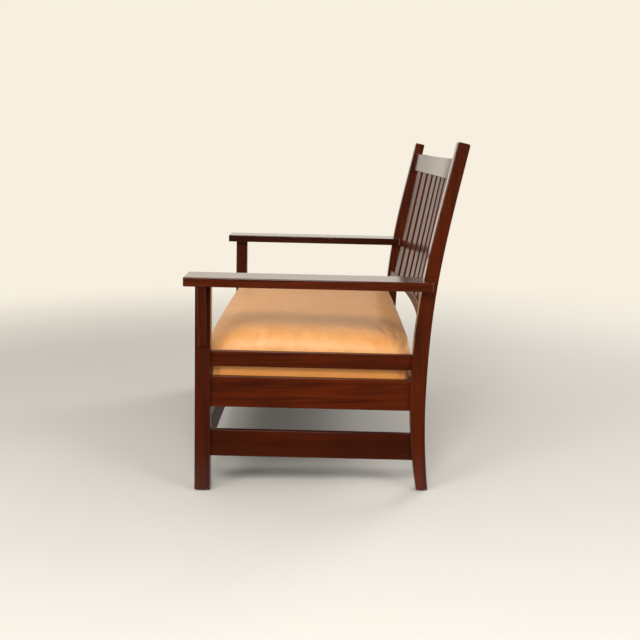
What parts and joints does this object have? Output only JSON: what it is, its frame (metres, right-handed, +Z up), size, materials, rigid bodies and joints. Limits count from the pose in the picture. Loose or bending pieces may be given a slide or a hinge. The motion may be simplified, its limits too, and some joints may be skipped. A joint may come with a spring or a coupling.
{
  "type": "mission settle",
  "caption": "Long mission settle with square posts, flat arms, a raked bowed slat back and a loose leather seat that lifts off its ledges.",
  "frame": {"origin": "middle of the bounding box's base, on the floor", "axes": "+X along the settle, +Y towards the back, +Z up"},
  "size_m": [1.55, 0.8446, 1.0268],
  "materials": {
    "mahogany_stained_wood": "satin lacquer over a dark red-brown stain",
    "stained_inner_wood": "thin stain, unpolished",
    "plain_softwood": "bare, planed",
    "tan_leather": "smooth light tan hide, soft sheen",
    "jute_webbing": "woven",
    "hessian": "open woven",
    "seat_foam": "soft",
    "dust_cloth": "matt black woven cloth",
    "dark_steel": "darkened",
    "zinc_steel": "plated"
  },
  "bodies": {
    "frame": {"arm_left": "mahogany_stained_wood", "arm_right": "mahogany_stained_wood", "back_seat_rail": "mahogany_stained_wood", "back_slat_1": "mahogany_stained_wood", "back_slat_10": "mahogany_stained_wood", "back_slat_2": "mahogany_stained_wood", "back_slat_3": "mahogany_stained_wood", "back_slat_4": "mahogany_stained_wood", "back_slat_5": "mahogany_stained_wood", "back_slat_6": "mahogany_stained_wood", "back_slat_7": "mahogany_stained_wood", "back_slat_8": "mahogany_stained_wood", "back_slat_9": "mahogany_stained_wood", "cleat_screws": "zinc_steel", "corbel_dowels": "plain_softwood", "corbel_left": "mahogany_stained_wood", "corbel_right": "mahogany_stained_wood", "corner_block_back_left": "stained_inner_wood", "corner_block_back_right": "stained_inner_wood", "corner_block_front_left": "stained_inner_wood", "corner_block_front_right": "stained_inner_wood", "corner_block_screws": "zinc_steel", "crest_rail": "mahogany_stained_wood", "end_stretcher_left": "mahogany_stained_wood", "end_stretcher_right": "mahogany_stained_wood", "foot_glide_front_left": "dark_steel", "foot_glide_front_right": "dark_steel", "foot_glide_rear_left": "dark_steel", "foot_glide_rear_right": "dark_steel", "front_post_left": "mahogany_stained_wood", "front_post_right": "mahogany_stained_wood", "front_seat_rail": "mahogany_stained_wood", "front_stretcher": "mahogany_stained_wood", "lower_back_rail": "mahogany_stained_wood", "lower_end_rail_left": "mahogany_stained_wood", "lower_end_rail_right": "mahogany_stained_wood", "rear_post_left": "mahogany_stained_wood", "rear_post_right": "mahogany_stained_wood", "seat_cleat_back": "stained_inner_wood", "seat_cleat_front": "stained_inner_wood", "seat_cleat_left": "stained_inner_wood", "seat_cleat_right": "stained_inner_wood", "upper_end_rail_left": "mahogany_stained_wood", "upper_end_rail_right": "mahogany_stained_wood"},
    "seat": {"dust_cover": "dust_cloth", "hessian_sheet": "hessian", "leather_cover": "tan_leather", "seat_frame_back": "plain_softwood", "seat_frame_cross_left": "plain_softwood", "seat_frame_cross_right": "plain_softwood", "seat_frame_front": "plain_softwood", "seat_frame_left": "plain_softwood", "seat_frame_right": "plain_softwood", "seat_pad": "seat_foam", "webbing_crosswise": "jute_webbing", "webbing_lengthwise": "jute_webbing"}
  },
  "joints": [
    {"name": "seat_lift", "type": "slide", "parent": "frame", "child": "seat", "axis": [0, 0.0227, 0.9997], "range_m": [0, 0.115]}
  ]
}
